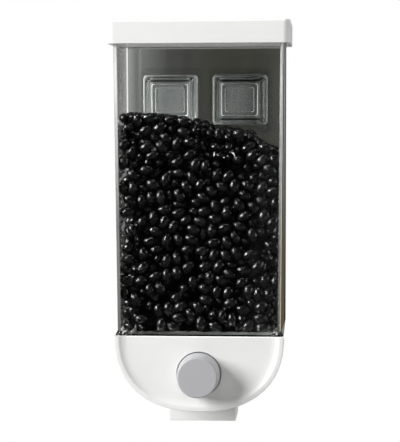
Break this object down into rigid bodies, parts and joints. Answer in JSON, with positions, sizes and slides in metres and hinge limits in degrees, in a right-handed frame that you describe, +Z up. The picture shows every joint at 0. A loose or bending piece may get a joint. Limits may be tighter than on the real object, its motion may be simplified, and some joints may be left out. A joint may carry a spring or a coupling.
{
  "type": "grain dispenser",
  "caption": "Wall-hung dispenser with a clear upright tank, lift-off lid and half-round base whose sprung push button opens a sliding gate over a spout.",
  "frame": {"origin": "on the wall plane, midway between the middles of the two adhesive hooks", "axes": "+Z up, -Y out of the wall towards the button, +X to the right as seen from the front"},
  "size_m": [0.12, 0.0895, 0.2685],
  "materials": {
    "clear_plastic": "clear, slightly smoked, polished",
    "white_plastic": "satin moulded",
    "lid_plastic": "satin moulded",
    "spout_plastic": "satin moulded",
    "grey_plastic": "fine matt",
    "silicone": "soft, translucent white",
    "steel": "bright",
    "clear_film": "clear, polished"
  },
  "bodies": {
    "wall_hooks": {"left_wall_film": "clear_film", "right_wall_film": "clear_film", "left_wall_hook": "clear_film", "right_wall_hook": "clear_film"},
    "dispenser": {"tank": "clear_plastic", "neck_gasket": "silicone", "front_fascia": "white_plastic", "base_housing": "white_plastic", "hopper_funnel": "white_plastic", "gate_guide": "white_plastic", "spout": "spout_plastic", "fascia_screws": "steel", "return_spring": "steel"},
    "button": {"button_cap": "grey_plastic", "button_stem": "white_plastic", "gate_slider": "white_plastic", "button_screw": "steel"},
    "lid": {"lid_shell": "lid_plastic", "lid_liner": "lid_plastic", "lid_seal": "silicone"}
  },
  "joints": [
    {"name": "hang_lift", "type": "slide", "parent": "wall_hooks", "child": "dispenser", "axis": [0, 0, 1], "range_m": [0, 0.0139]},
    {"name": "button_press", "type": "slide", "parent": "dispenser", "child": "button", "axis": [0, 1, 0], "range_m": [0, 0.01], "stiffness_N_per_m": 250, "springref_m": -0.004, "deforming": ["return_spring"]},
    {"name": "lid_lift", "type": "slide", "parent": "dispenser", "child": "lid", "axis": [0, 0, 1], "range_m": [0, 0.04]}
  ]
}
